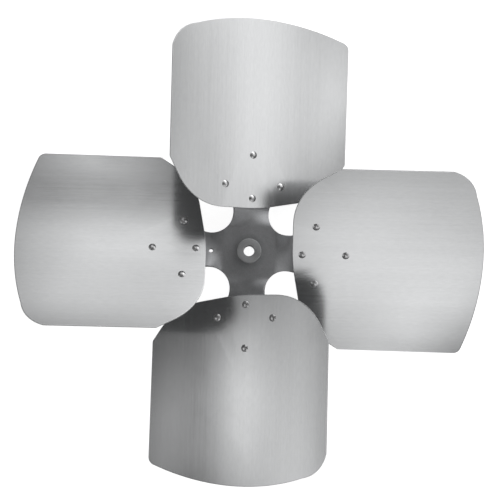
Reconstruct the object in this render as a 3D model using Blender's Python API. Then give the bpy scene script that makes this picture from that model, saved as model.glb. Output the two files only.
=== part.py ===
"""Four-blade propeller fan rotor: sheet aluminium blades riveted to a stamped steel spider on a turned hub.

The fan axis is +Z and the side that faces up is the blades' concave side. The blades point along +Y, +X,
-Y and -X. Each blade is a flat blank, measured as s across the blade and v out from the axis, rolled to one
radius and pitched about the line through its inner and outer rivets. The rotor rests on the four blades'
low edges at z = 0.
"""

import math

import bpy
import numpy as np
from mathutils import Vector
from mathutils.geometry import delaunay_2d_cdt

MM = 0.001

# Blades: a 22 inch fan in 0.063 inch sheet.
TIP_RADIUS = 279.4 * MM
TIP_ARC_RADIUS = 280.0 * MM
BLADE_THICKNESS = 1.6 * MM
PITCH = math.radians(24.9)
CAMBER_RADIUS = 430.0 * MM
RIVET_LINE_OFFSET = 2.6 * MM
STRIP_WIDTH = 12.0 * MM
BLADE_FOLDS = (np.arange(-10, 10) + 0.5) * STRIP_WIDTH

# Blade blank: its low side is s > 0, and corner fillets are radii on the flat sheet.
RAISED_EDGE = -115.6 * MM
ROOT_CORNER_RADIUS = 75.0 * MM
INNER_EDGE_RADIUS = 200.0 * MM
LOW_TIP_CORNER_RADIUS = 18.0 * MM
ROOT_CORNERS = (
    (RAISED_EDGE, 106.6 * MM, 0.0),
    (-80.2 * MM, 51.4 * MM, ROOT_CORNER_RADIUS),
    (10.3 * MM, 51.4 * MM, INNER_EDGE_RADIUS),
    (88.7 * MM, 65.8 * MM, ROOT_CORNER_RADIUS),
    (116.0 * MM, 108.4 * MM, 0.0),
)
LOW_TIP_CORNER_S = 117.9 * MM
RAISED_TIP_START = -82.0 * MM
RAISED_TIP_MIDDLE = (-105.7 * MM, 255.0 * MM)
RAISED_TIP_END = 237.9 * MM
TIP_STEP = 6.0 * MM

# Rivets: four to a blade, in a kite.
RIVET_SPOTS = {
    "inner": (0.0, 63.3 * MM),
    "outer": (0.0, 115.2 * MM),
    "raised_side": (-36.3 * MM, 79.0 * MM),
    "low_side": (36.3 * MM, 79.0 * MM),
}
RIVET_SHANK_RADIUS = 2.4 * MM
RIVET_HEAD_RADIUS = 4.1 * MM
RIVET_HEAD_HEIGHT = 2.3 * MM
RIVET_DOME_ANGLES = (18.0, 38.0, 60.0)
RIVET_TAIL_RADIUS = 3.7 * MM
RIVET_TAIL_HEIGHT = 1.7 * MM
RIVET_TAIL_CHAMFER = 0.6 * MM
FIT_GAP = 0.3 * MM

# Spider: one stamping with a flat middle, four twisted necks and four arm ends under the blades.
SPIDER_THICKNESS = 3.0 * MM
ARM_DEPTH = BLADE_THICKNESS + FIT_GAP
ARM_MIDDLE_DEPTH = ARM_DEPTH + SPIDER_THICKNESS / 2.0
ARM_HALF_WIDTH = 55.0 * MM
SPIDER_DROP = 1.9 * MM
TWIST_START = 30.0 * MM
TWIST_END = 50.0 * MM
TWIST_STEPS = 6
BITE_RADIUS = 25.6 * MM
BITE_DISTANCE = 65.7 * MM
BITE_TURN = math.radians(-1.7)
ARM_SIDE_LOBE = (36.3 * MM, 79.0 * MM)
ARM_TIP_LOBE = (0.0, 115.2 * MM)
ARM_TIP_LOBE_RADIUS = 12.0 * MM
PILOT_HOLE_RADIUS = 2.4 * MM
PILOT_HOLE_DISTANCE = 45.4 * MM

# Hub: turned barrel in front, shank through the spider, rolled collar behind.
HUB_RISE = 16.0 * MM
HUB_RADIUS = 14.3 * MM
BORE_RADIUS = 6.35 * MM
SHANK_RADIUS = 9.5 * MM
COLLAR_RADIUS = 11.6 * MM
COLLAR_HEIGHT = 1.9 * MM
COLLAR_ROUND = 0.8 * MM
OUTER_CHAMFER = 0.8 * MM
BORE_CHAMFER = 0.5 * MM
SET_SCREW_RADIUS = 3.175 * MM
SET_SCREW_TIP_RADIUS = 2.0 * MM
SET_SCREW_BELOW_FACE = 7.5 * MM
SET_SCREW_RECESS = 0.7 * MM
SET_SCREW_HOLE_END = HUB_RADIUS + 3.0 * MM
HEX_SOCKET_RADIUS = 1.84 * MM
HEX_SOCKET_DEPTH = 2.6 * MM

ARC_STEP = math.radians(9.0)
WELD_DISTANCE = 0.0001
SMOOTH_ANGLE = math.radians(30.0)
HOLE_SIDES = 16
SET_SCREW_SIDES = 30
HUB_SIDES = 64
QUARTER_TURNS = {"north": 0.0, "east": -90.0, "south": 180.0, "west": 90.0}


def camber_point(s: float, depth: float) -> np.ndarray:
    """X and Z of a point on the rolled sheet, s along its upper face and depth below that face."""
    angle = PITCH - s / CAMBER_RADIUS
    centre = CAMBER_RADIUS * np.array([math.sin(PITCH), math.cos(PITCH)])
    offset = np.array([RIVET_LINE_OFFSET, RIVET_PLANE])
    return centre + offset - (CAMBER_RADIUS + depth) * np.array([math.sin(angle), math.cos(angle)])


def rolled(flat: np.ndarray, depth: float) -> np.ndarray:
    """Points of the flat blank on the rolled sheet, in flat strips with one strip centred on s = 0."""
    strip = np.floor(flat[:, 0] / STRIP_WIDTH + 0.5)
    start = np.array([camber_point((k - 0.5) * STRIP_WIDTH, depth) for k in strip])
    end = np.array([camber_point((k + 0.5) * STRIP_WIDTH, depth) for k in strip])
    along = (flat[:, 0] / STRIP_WIDTH + 0.5 - strip)[:, None]
    xz = start + (end - start) * along
    return np.column_stack([xz[:, 0], flat[:, 1], xz[:, 1]])


def strip_normal(s: float) -> np.ndarray:
    """Upward normal of the flat strip that holds s."""
    strip = math.floor(s / STRIP_WIDTH + 0.5)
    angle = PITCH - strip * STRIP_WIDTH / CAMBER_RADIUS
    return np.array([math.sin(angle), 0.0, math.cos(angle)])


def turned(points: np.ndarray, degrees: float) -> np.ndarray:
    """Points turned about the fan axis."""
    angle = math.radians(degrees)
    cos, sin = math.cos(angle), math.sin(angle)
    return points @ np.array([[cos, sin, 0.0], [-sin, cos, 0.0], [0.0, 0.0, 1.0]])


def arc(centre: np.ndarray, radius: float, start: float, end: float) -> list:
    """Points along a circular arc, both ends included, angles in radians."""
    count = max(2, math.ceil(abs(end - start) / ARC_STEP))
    angles = np.linspace(start, end, count + 1)
    return [np.array([centre[0] + radius * math.cos(a), centre[1] + radius * math.sin(a)]) for a in angles]


def three_point_arc(first, middle, last) -> list:
    """Points along the circle arc through three points."""
    a, b, c = (np.array(p, dtype=float) for p in (first, middle, last))
    normal_equations = 2.0 * np.array([b - a, c - a])
    centre = np.linalg.solve(normal_equations, np.array([b @ b - a @ a, c @ c - a @ a]))
    radius = float(np.linalg.norm(a - centre))
    start, end = (math.atan2(*(p - centre)[::-1]) for p in (a, c))
    turn = math.atan2(math.sin(end - start), math.cos(end - start))
    return arc(centre, radius, start, start + turn)


def fillet(before, corner, after, radius: float) -> list:
    """Points of a corner, rounded where the radius isn't zero."""
    corner = np.array(corner, dtype=float)
    if radius == 0.0:
        return [corner]
    to_before = np.array(before, dtype=float) - corner
    to_after = np.array(after, dtype=float) - corner
    to_before /= np.linalg.norm(to_before)
    to_after /= np.linalg.norm(to_after)
    half = math.acos(float(np.clip(to_before @ to_after, -1.0, 1.0))) / 2.0
    bisector = (to_before + to_after) / np.linalg.norm(to_before + to_after)
    centre = corner + bisector * radius / math.sin(half)
    tangent = radius / math.tan(half)
    first = corner + to_before * tangent
    last = corner + to_after * tangent
    return three_point_arc(first, centre - bisector * radius, last)


def circle(centre, radius: float, sides: int) -> list:
    """Points of a round hole."""
    angles = (np.arange(sides) + 0.5) * math.tau / sides
    return [np.array([centre[0] + radius * math.cos(a), centre[1] + radius * math.sin(a)]) for a in angles]


def tip_height(s: float) -> float:
    """v of the tip arc at s."""
    return TIP_RADIUS - TIP_ARC_RADIUS + math.sqrt(TIP_ARC_RADIUS**2 - s**2)


def blade_outline() -> list:
    """Outline of the flat blade blank, anticlockwise from the raised root corner."""
    outline = []
    low_tip = (LOW_TIP_CORNER_S, tip_height(LOW_TIP_CORNER_S))
    for index, (s, v, radius) in enumerate(ROOT_CORNERS):
        before = ROOT_CORNERS[index - 1][:2]
        after = ROOT_CORNERS[index + 1][:2] if index + 1 < len(ROOT_CORNERS) else low_tip
        outline += fillet(before, (s, v), after, radius)
    slope = LOW_TIP_CORNER_S / math.sqrt(TIP_ARC_RADIUS**2 - LOW_TIP_CORNER_S**2)
    along_tip = (0.0, low_tip[1] + LOW_TIP_CORNER_S * slope)
    corner = fillet(ROOT_CORNERS[-1][:2], low_tip, along_tip, LOW_TIP_CORNER_RADIUS)
    outline += corner
    stations = np.arange(corner[-1][0] - TIP_STEP, RAISED_TIP_START + TIP_STEP / 2.0, -TIP_STEP)
    outline += [np.array([s, tip_height(s)]) for s in stations]
    raised_start = (RAISED_TIP_START, tip_height(RAISED_TIP_START))
    outline += three_point_arc(raised_start, RAISED_TIP_MIDDLE, (RAISED_EDGE, RAISED_TIP_END))
    return outline


def plan_x(s: float) -> float:
    """X, seen from above, of a spot s across the arm under the +Y blade, halfway through its thickness."""
    return float(camber_point(s, ARM_MIDDLE_DEPTH)[0])


def half_arm_outline(hand: float) -> list:
    """Half of the +Y arm seen from above: bite, side lobe and tip lobe, mirrored to +X where hand is -1."""
    diagonal = math.pi / 4.0 + hand * BITE_TURN
    bite = BITE_DISTANCE * np.array([math.cos(diagonal), math.sin(diagonal)])
    side = np.array([hand * plan_x(hand * ARM_SIDE_LOBE[0]), ARM_SIDE_LOBE[1]])
    tip = np.array([hand * plan_x(ARM_TIP_LOBE[0]), ARM_TIP_LOBE[1]])
    reach = side - bite
    side_radius = float(np.linalg.norm(reach)) - BITE_RADIUS
    touch = math.atan2(reach[1], reach[0])
    to_tip = tip - side
    lean = math.asin((side_radius - ARM_TIP_LOBE_RADIUS) / float(np.linalg.norm(to_tip)))
    shoulder = math.atan2(to_tip[1], to_tip[0]) - math.pi / 2.0 + lean
    half = arc(bite, BITE_RADIUS, diagonal + math.pi, touch)
    half += arc(side, side_radius, touch - math.pi, shoulder)[1:]
    return half + arc(tip, ARM_TIP_LOBE_RADIUS, shoulder, math.pi / 2.0)


def arm_outline() -> list:
    """Outline of the +Y arm seen from above, anticlockwise from bite to bite."""
    right = half_arm_outline(1.0)
    left = [np.array([-p[0], p[1]]) for p in half_arm_outline(-1.0)]
    return right + left[-2::-1]


def inside(points: np.ndarray, loop: np.ndarray) -> np.ndarray:
    """Which points lie inside a closed loop, by counting crossings of a ray towards +X."""
    x, y = points[:, 0][:, None], points[:, 1][:, None]
    x0, y0 = loop[:, 0][None, :], loop[:, 1][None, :]
    x1, y1 = np.roll(loop[:, 0], -1)[None, :], np.roll(loop[:, 1], -1)[None, :]
    spans = (y0 > y) != (y1 > y)
    rise = np.where(y1 == y0, 1.0, y1 - y0)
    cross = x < x0 + (y - y0) * (x1 - x0) / rise
    return (spans & cross).sum(axis=1) % 2 == 1


def blank(outline: list, holes: list, cuts: list) -> tuple:
    """Triangulates a flat blank with holes and fold lines into plane points and anticlockwise faces."""
    points, edges = [], []
    for loop in [outline, *holes]:
        first = len(points)
        points += [Vector((p[0] / MM, p[1] / MM)) for p in loop]
        edges += [(first + i, first + (i + 1) % len(loop)) for i in range(len(loop))]
    for start, end in cuts:
        edges.append((len(points), len(points) + 1))
        points += [Vector((p[0] / MM, p[1] / MM)) for p in (start, end)]
    flat, _, faces, _, _, _ = delaunay_2d_cdt(points, edges, [], 0, WELD_DISTANCE)
    flat = np.array([tuple(p) for p in flat]) * MM
    faces = np.array([tuple(f) for f in faces])
    middles = flat[faces].mean(axis=1)
    keep = inside(middles, np.array(outline))
    for loop in holes:
        keep &= ~inside(middles, np.array(loop))
    faces = faces[keep]
    used, index = np.unique(faces, return_inverse=True)
    return flat[used], index.reshape(faces.shape)


def plate(upper: np.ndarray, lower: np.ndarray, faces: np.ndarray) -> tuple:
    """Closed sheet between two copies of one triangulation, with walls around its outline and holes."""
    count = len(upper)
    directed = {(a, b) for face in faces.tolist() for a, b in zip(face, face[1:] + face[:1])}
    rim = sorted((a, b) for a, b in directed if (b, a) not in directed)
    walls = [(a, a + count, b + count, b) for a, b in rim]
    polygons = faces.tolist() + (faces[:, ::-1] + count).tolist() + walls
    return np.vstack([upper, lower]), polygons


def revolved(profile: list, sides: int) -> tuple:
    """Closed solid turned about Z from an anticlockwise profile of (radius, height).

    A profile that starts and ends on the axis makes a solid body. Any other is a closed loop with a bore.
    """
    angles = np.arange(sides) * math.tau / sides
    rings, points = [], []
    for radius, height in profile:
        if radius == 0.0:
            rings.append([len(points)] * sides)
            points.append((0.0, 0.0, height))
        else:
            rings.append(list(range(len(points), len(points) + sides)))
            points += [(radius * math.cos(a), radius * math.sin(a), height) for a in angles]
    solid_core = profile[0][0] == 0.0
    pairs = list(zip(rings, rings[1:])) + ([] if solid_core else [(rings[-1], rings[0])])
    polygons = []
    for low, high in pairs:
        for i in range(sides):
            j = (i + 1) % sides
            corners = [low[i], low[j], high[j], high[i]]
            polygons.append(tuple(dict.fromkeys(corners)))
    return np.array(points), polygons


def placed(points: np.ndarray, origin: np.ndarray, normal: np.ndarray) -> np.ndarray:
    """Points modelled about Z, moved so that Z runs along a normal in the XZ plane from an origin."""
    across = np.array([normal[2], 0.0, -normal[0]])
    return origin + points @ np.array([across, [0.0, 1.0, 0.0], normal])


def make_material(name: str, colour: tuple, metallic: float, roughness: float) -> bpy.types.Material:
    """Principled material of one piece."""
    material = bpy.data.materials.new(name)
    material.use_nodes = True
    shader = material.node_tree.nodes["Principled BSDF"]
    shader.inputs["Base Color"].default_value = (*colour, 1.0)
    shader.inputs["Metallic"].default_value = metallic
    shader.inputs["Roughness"].default_value = roughness
    material.diffuse_color = (*colour, 1.0)
    return material


def make_object(name: str, shape: tuple, look: tuple) -> bpy.types.Object:
    """One solid in the scene, shaded smooth except at its sharp edges."""
    points, polygons = shape
    mesh = bpy.data.meshes.new(name)
    mesh.from_pydata(points.tolist(), [], polygons)
    mesh.update()
    mesh.shade_smooth()
    mesh.set_sharp_from_angle(angle=SMOOTH_ANGLE)
    mesh.materials.append(make_material(name, *look))
    made = bpy.data.objects.new(name, mesh)
    bpy.context.scene.collection.objects.link(made)
    return made


def cut_away(body: bpy.types.Object, shape: tuple) -> None:
    """Subtracts a closed shape from a body with a live Boolean."""
    points, polygons = shape
    mesh = bpy.data.meshes.new(f"{body.name}_cutter")
    mesh.from_pydata(points.tolist(), [], polygons)
    cutter = bpy.data.objects.new(mesh.name, mesh)
    bpy.context.scene.collection.objects.link(cutter)
    cutter.hide_render = True
    cutter.display_type = "WIRE"
    modifier = body.modifiers.new("cut", "BOOLEAN")
    modifier.operation = "DIFFERENCE"
    modifier.solver = "EXACT"
    modifier.object = cutter


def blade_shape() -> tuple:
    """Blade that points along +Y, rolled and pitched, with its four rivet holes."""
    holes = [circle(spot, RIVET_SHANK_RADIUS + FIT_GAP, HOLE_SIDES) for spot in RIVET_SPOTS.values()]
    cuts = [((s, 0.0), (s, TIP_RADIUS + STRIP_WIDTH)) for s in BLADE_FOLDS]
    flat, faces = blank(blade_outline(), holes, cuts)
    return plate(rolled(flat, 0.0), rolled(flat, BLADE_THICKNESS), faces)


def arm_place(plan: np.ndarray, depth: float) -> np.ndarray:
    """Puts plan points of the +Y arm at their height: level near the axis, then twisted to the blade."""
    ramp = np.clip((plan[:, 1] - TWIST_START) / (TWIST_END - TWIST_START), 0.0, 1.0)
    share = (ramp * ramp * (3.0 - 2.0 * ramp))[:, None]
    level = np.column_stack([plan, np.full(len(plan), SPIDER_TOP - depth)])
    from_centre = RIVET_LINE_OFFSET + CAMBER_RADIUS * math.sin(PITCH) - plan[:, 0]
    across = CAMBER_RADIUS * (PITCH - np.arcsin(from_centre / (CAMBER_RADIUS + ARM_MIDDLE_DEPTH)))
    twisted = rolled(np.column_stack([across, plan[:, 1]]), ARM_DEPTH + depth)
    return level * (1.0 - share) + twisted * share


def turned_flat(points, degrees: float) -> np.ndarray:
    """Points of the plane turned about the fan axis."""
    return turned(np.column_stack([points, np.zeros(len(points))]), degrees)[:, :2]


def spider_shape() -> tuple:
    """Spider stamping: flat middle with the hub hole, four bites, twisted necks and riveted arm ends."""
    outline, cuts = [], []
    holes = [
        circle((0.0, 0.0), SHANK_RADIUS + FIT_GAP, HUB_SIDES // 2),
        circle((-PILOT_HOLE_DISTANCE, 0.0), PILOT_HOLE_RADIUS, HOLE_SIDES),
    ]
    reach = ARM_TIP_LOBE[1] + ARM_TIP_LOBE_RADIUS + FIT_GAP
    folds = [plan_x(s) for s in BLADE_FOLDS if abs(s) < ARM_HALF_WIDTH]
    bands = [[(x, TWIST_START), (x, reach)] for x in folds]
    steps = np.linspace(TWIST_START, TWIST_END, TWIST_STEPS + 1)
    bands += [[(-TWIST_START, v), (TWIST_START, v)] for v in steps]
    for degrees in QUARTER_TURNS.values():
        outline.append(list(turned_flat(arm_outline()[:-1], degrees)))
        cuts += [turned_flat(band, degrees) for band in bands]
        for spot in RIVET_SPOTS.values():
            rim = circle(spot, RIVET_SHANK_RADIUS + FIT_GAP, HOLE_SIDES)
            holes.append(list(turned_flat([(plan_x(s), v) for s, v in rim], degrees)))
    anticlockwise = outline[:1] + outline[:0:-1]
    flat, faces = blank([point for arm in anticlockwise for point in arm], holes, cuts)
    upper = np.column_stack([flat, np.full(len(flat), SPIDER_TOP)])
    lower = np.column_stack([flat, np.full(len(flat), SPIDER_TOP - SPIDER_THICKNESS)])
    for degrees in QUARTER_TURNS.values():
        own = turned_flat(flat, -degrees)
        on_arm = (own[:, 1] > TWIST_START) & (np.abs(own[:, 0]) < own[:, 1])
        upper[on_arm] = turned(arm_place(own[on_arm], 0.0), degrees)
        lower[on_arm] = turned(arm_place(own[on_arm], SPIDER_THICKNESS), degrees)
    return plate(upper, lower, faces)


def hub_shape() -> tuple:
    """Hub turned about the fan axis: barrel, shank through the spider and rolled collar behind it."""
    face = RIVET_PLANE + HUB_RISE
    seat = SPIDER_TOP + FIT_GAP
    under = SPIDER_TOP - SPIDER_THICKNESS - FIT_GAP
    back = under - COLLAR_HEIGHT
    profile = [
        (BORE_RADIUS, back + BORE_CHAMFER),
        (BORE_RADIUS + BORE_CHAMFER, back),
        (COLLAR_RADIUS - COLLAR_ROUND, back),
        (COLLAR_RADIUS - COLLAR_ROUND / 3.0, back + COLLAR_ROUND / 3.0),
        (COLLAR_RADIUS, back + COLLAR_ROUND),
        (COLLAR_RADIUS, under),
        (SHANK_RADIUS, under),
        (SHANK_RADIUS, seat),
        (HUB_RADIUS, seat),
        (HUB_RADIUS, face - OUTER_CHAMFER),
        (HUB_RADIUS - OUTER_CHAMFER, face),
        (BORE_RADIUS + BORE_CHAMFER, face),
        (BORE_RADIUS, face - BORE_CHAMFER),
    ]
    return revolved(profile, HUB_SIDES)


def crosswise(points: np.ndarray) -> np.ndarray:
    """Points modelled about Z, laid along +Y at the set screw's height."""
    height = RIVET_PLANE + HUB_RISE - SET_SCREW_BELOW_FACE
    return np.column_stack([points[:, 0], points[:, 2], height - points[:, 1]])


def set_screw_hole_shape() -> tuple:
    """Cutter for the tapped cross hole, from inside the bore to outside the barrel."""
    radius = SET_SCREW_RADIUS + FIT_GAP
    profile = [(0.0, 0.0), (radius, 0.0), (radius, SET_SCREW_HOLE_END), (0.0, SET_SCREW_HOLE_END)]
    points, polygons = revolved(profile, HOLE_SIDES)
    return crosswise(points), polygons


def set_screw_shape() -> tuple:
    """Headless set screw with a hexagon socket, just short of the bore so that it touches no shaft."""
    tip = BORE_RADIUS + FIT_GAP
    end = HUB_RADIUS - SET_SCREW_RECESS
    chamfer = SET_SCREW_RADIUS - SET_SCREW_TIP_RADIUS
    floor = end - HEX_SOCKET_DEPTH
    profile = [
        (0.0, tip),
        (SET_SCREW_TIP_RADIUS, tip),
        (SET_SCREW_RADIUS, tip + chamfer),
        (SET_SCREW_RADIUS, end),
        (HEX_SOCKET_RADIUS, end),
        (HEX_SOCKET_RADIUS, floor),
        (0.0, floor),
    ]
    points, polygons = revolved(profile, SET_SCREW_SIDES)
    angle = np.arctan2(points[:, 1], points[:, 0])
    radius = np.hypot(points[:, 0], points[:, 1])
    in_socket = (radius > 0.0) & (radius <= HEX_SOCKET_RADIUS) & (points[:, 2] >= floor)
    sector = angle % (math.tau / 6.0) - math.tau / 12.0
    to_flat = np.where(in_socket, math.cos(math.tau / 12.0) / np.cos(sector), 1.0)
    points[:, :2] *= to_flat[:, None]
    return crosswise(points), polygons


def rivet_shape(spot: tuple) -> tuple:
    """Solid rivet of the +Y blade: domed head above the sheet, flat formed tail below the arm."""
    s, v = spot
    below = BLADE_THICKNESS + FIT_GAP + SPIDER_THICKNESS + FIT_GAP
    dome = np.radians(RIVET_DOME_ANGLES)
    profile = [
        (0.0, -below - RIVET_TAIL_HEIGHT),
        (RIVET_TAIL_RADIUS - RIVET_TAIL_CHAMFER, -below - RIVET_TAIL_HEIGHT),
        (RIVET_TAIL_RADIUS, -below - RIVET_TAIL_HEIGHT + RIVET_TAIL_CHAMFER),
        (RIVET_TAIL_RADIUS, -below),
        (RIVET_SHANK_RADIUS, -below),
        (RIVET_SHANK_RADIUS, FIT_GAP),
        (RIVET_HEAD_RADIUS, FIT_GAP),
    ]
    profile += [(RIVET_HEAD_RADIUS * math.cos(a), FIT_GAP + RIVET_HEAD_HEIGHT * math.sin(a)) for a in dome]
    profile.append((0.0, FIT_GAP + RIVET_HEAD_HEIGHT))
    points, polygons = revolved(profile, HOLE_SIDES)
    origin = rolled(np.array([[s, v]]), 0.0)[0]
    return placed(points, origin, strip_normal(s)), polygons


def lowest_edge() -> float:
    """Depth of the blade's lowest edge below the rivet line, before the rotor is set on the floor."""
    outline = np.array(blade_outline())
    return float(rolled(outline, BLADE_THICKNESS)[:, 2].min())


# The rotor stands on its low edges, so the rivet line's height follows from the blade's own shape.
RIVET_PLANE = 0.0
RIVET_PLANE = -lowest_edge()
SPIDER_TOP = RIVET_PLANE - SPIDER_DROP

ALUMINIUM_LOOK = ((0.78, 0.79, 0.80), 1.0, 0.32)
SPIDER_LOOK = ((0.42, 0.42, 0.43), 1.0, 0.40)
HUB_LOOK = ((0.46, 0.46, 0.47), 1.0, 0.38)
SCREW_LOOK = ((0.10, 0.10, 0.11), 1.0, 0.45)
RIVET_LOOK = ((0.74, 0.75, 0.76), 1.0, 0.28)


def main() -> None:
    """Clears the scene and builds every piece of the rotor."""
    for old in list(bpy.data.objects):
        bpy.data.objects.remove(old, do_unlink=True)

    hub = make_object("hub", hub_shape(), HUB_LOOK)
    cut_away(hub, set_screw_hole_shape())
    make_object("set_screw", set_screw_shape(), SCREW_LOOK)
    make_object("spider", spider_shape(), SPIDER_LOOK)
    points, polygons = blade_shape()
    for side, degrees in QUARTER_TURNS.items():
        make_object(f"blade_{side}", (turned(points, degrees), polygons), ALUMINIUM_LOOK)
        for spot_name, spot in RIVET_SPOTS.items():
            rivet_points, rivet_polygons = rivet_shape(spot)
            shape = (turned(rivet_points, degrees), rivet_polygons)
            make_object(f"rivet_{side}_{spot_name}", shape, RIVET_LOOK)


main()
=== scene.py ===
"""Looks of a four-blade propeller fan rotor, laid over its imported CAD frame.

The fan axis is +Z, the blades point along +Y, +X, -Y and -X, and the rotor stands on its low edges at z = 0.
Every length is in metres, and every mesh is worked out with numpy in the frame's own coordinates.
"""

import logging
import math
from collections.abc import Callable
from dataclasses import dataclass
from enum import Enum

import bpy
import numpy as np
from mathutils import Matrix, Vector
from mathutils.geometry import delaunay_2d_cdt


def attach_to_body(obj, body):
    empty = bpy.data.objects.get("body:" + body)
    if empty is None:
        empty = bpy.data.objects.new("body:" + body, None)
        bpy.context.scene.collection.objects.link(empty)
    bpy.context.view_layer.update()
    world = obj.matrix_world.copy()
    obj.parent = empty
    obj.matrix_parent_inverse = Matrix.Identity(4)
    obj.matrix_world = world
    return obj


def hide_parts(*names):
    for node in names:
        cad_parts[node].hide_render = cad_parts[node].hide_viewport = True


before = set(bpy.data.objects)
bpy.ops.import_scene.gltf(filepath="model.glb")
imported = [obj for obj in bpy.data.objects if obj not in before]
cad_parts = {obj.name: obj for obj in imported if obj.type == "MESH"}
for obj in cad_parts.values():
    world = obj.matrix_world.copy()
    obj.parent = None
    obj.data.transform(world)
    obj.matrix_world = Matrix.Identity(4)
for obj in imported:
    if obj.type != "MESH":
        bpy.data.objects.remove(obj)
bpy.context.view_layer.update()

LOG = logging.getLogger("fan_rotor")
MM = 0.001
BODY = "root"
PHOTO_PIXELS = 498

# Names that a mesh and its material share.
SHEET_UV = "sheet"
CUT_EDGE = "cut_edge"
TENT_BRIGHTNESS = "brightness"

# Blender's noise seldom leaves this range, so a pattern reaches its limits at these two values.
NOISE_RANGE = (0.25, 0.75)
OCTAVE_FADE = 0.55
RELIEF_DEPTH = 0.02 * MM
WHITE = (1.0, 1.0, 1.0, 1.0)

# The points that fill a plate keep this share of their spacing off its rims. The triangulation works in
# millimetres and takes points closer than the second value for one.
RIM_CLEARANCE = 0.4
SAME_POINT = 1e-5


class Side(Enum):
    """The four blades by the direction that they point in, with their turn about the fan axis in degrees."""

    NORTH = 0.0
    EAST = -90.0
    SOUTH = 180.0
    WEST = 90.0


class RivetSpot(Enum):
    """The four rivets of a blade, as s across and v out along the flat blade."""

    INNER = (0.0, 63.3 * MM)
    OUTER = (0.0, 115.2 * MM)
    RAISED_SIDE = (-36.3 * MM, 79.0 * MM)
    LOW_SIDE = (36.3 * MM, 79.0 * MM)


class Closure(Enum):
    """How a surface of rings is closed: by a point at each end, or by joining its last ring to its first."""

    POLES = "poles"
    LOOP = "loop"


# Shared arithmetic


def linear(hex_code: str) -> tuple[float, float, float, float]:
    """Turns an sRGB hex colour to linear light.

    Args:
        hex_code: Colour as "#rrggbb".

    Returns:
        Linear red, green and blue, with an alpha of 1.
    """
    channel = np.array([int(hex_code[i : i + 2], 16) for i in (1, 3, 5)]) / 255.0
    red, green, blue = np.where(channel <= 0.04045, channel / 12.92, ((channel + 0.055) / 1.055) ** 2.4)
    return float(red), float(green), float(blue), 1.0


def smoothstep(value: np.ndarray, low: float, high: float) -> np.ndarray:
    """Rises from 0 at low to 1 at high as 3t^2 - 2t^3."""
    t = np.clip((value - low) / (high - low), 0.0, 1.0)
    return t * t * (3.0 - 2.0 * t)


def turned(points: np.ndarray, degrees: float) -> np.ndarray:
    """Turns points about the fan axis.

    Args:
        points: Array of (x, y, z) rows, or of (x, y) rows.
        degrees: Anticlockwise turn seen from above.

    Returns:
        The turned points, in the same shape.
    """
    cos, sin = math.cos(math.radians(degrees)), math.sin(math.radians(degrees))
    moved = points.copy()
    moved[..., 0] = cos * points[..., 0] - sin * points[..., 1]
    moved[..., 1] = sin * points[..., 0] + cos * points[..., 1]
    return moved


def arc(centre: np.ndarray, radius: float, start: float, end: float, step: float) -> np.ndarray:
    """Points along a circle arc: centre + radius (cos a, sin a), with a from start to end.

    Args:
        centre: Centre in the plane.
        radius: Radius of the arc.
        start: First angle in radians.
        end: Last angle in radians.
        step: Longest distance between two points.

    Returns:
        Array of (x, y) rows, at least three, both ends included.
    """
    count = max(3, math.ceil(abs(end - start) * radius / step) + 1)
    angle = np.linspace(start, end, count)
    return np.asarray(centre) + radius * np.column_stack([np.cos(angle), np.sin(angle)])


def arc_through(first: np.ndarray, middle: np.ndarray, last: np.ndarray, step: float) -> np.ndarray:
    """Points along the circle arc through three points; its centre is as far from each of them.

    Args:
        first: Where the arc starts.
        middle: A point that it passes.
        last: Where it ends, less than half a turn on.
        step: Longest distance between two points.

    Returns:
        Array of (x, y) rows, both ends included.
    """
    a, b, c = (np.asarray(p, dtype=float) for p in (first, middle, last))
    centre = np.linalg.solve(2.0 * np.array([b - a, c - a]), np.array([b @ b - a @ a, c @ c - a @ a]))
    start, end = (math.atan2(*(p - centre)[::-1]) for p in (a, c))
    turn = math.atan2(math.sin(end - start), math.cos(end - start))
    return arc(centre, float(np.linalg.norm(a - centre)), start, start + turn, step)


def fillet(
    before: np.ndarray, corner: np.ndarray, after: np.ndarray, radius: float, step: float
) -> np.ndarray:
    """Rounds a corner with an arc that touches both of its sides.

    Args:
        before: Point on the side that comes into the corner.
        corner: The corner.
        after: Point on the side that leaves it.
        radius: Radius of the arc, or 0 for a sharp corner.
        step: Longest distance between two points.

    Returns:
        Array of (x, y) rows.
    """
    corner = np.asarray(corner, dtype=float)
    if radius == 0.0:
        return corner[None, :]
    sides = np.array([before, after], dtype=float) - corner
    sides /= np.linalg.norm(sides, axis=1)[:, None]
    half = math.acos(float(np.clip(sides[0] @ sides[1], -1.0, 1.0))) / 2.0
    bisector = sides.sum(axis=0) / np.linalg.norm(sides.sum(axis=0))
    centre = corner + bisector * radius / math.sin(half)
    first, last = corner + sides * radius / math.tan(half)
    return arc_through(first, centre - bisector * radius, last, step)


def inset_loop(loop: np.ndarray, distance: float) -> np.ndarray:
    """Moves a closed loop to its left by a distance, which is inwards for an anticlockwise outline.

    Each point moves along the mean of the normals of its two edges, lengthened so that the edges keep the
    distance, but never to more than twice the distance.

    Args:
        loop: Rows of (x, y).
        distance: How far the edges move.

    Returns:
        The moved loop, with as many points.
    """
    ahead = np.roll(loop, -1, axis=0) - loop
    ahead /= np.linalg.norm(ahead, axis=1)[:, None]
    normal = np.column_stack([-ahead[:, 1], ahead[:, 0]])
    both = normal + np.roll(normal, 1, axis=0)
    both /= np.linalg.norm(both, axis=1)[:, None]
    return loop + both * (distance / np.clip((both * normal).sum(axis=1), 0.5, 1.0))[:, None]


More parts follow.
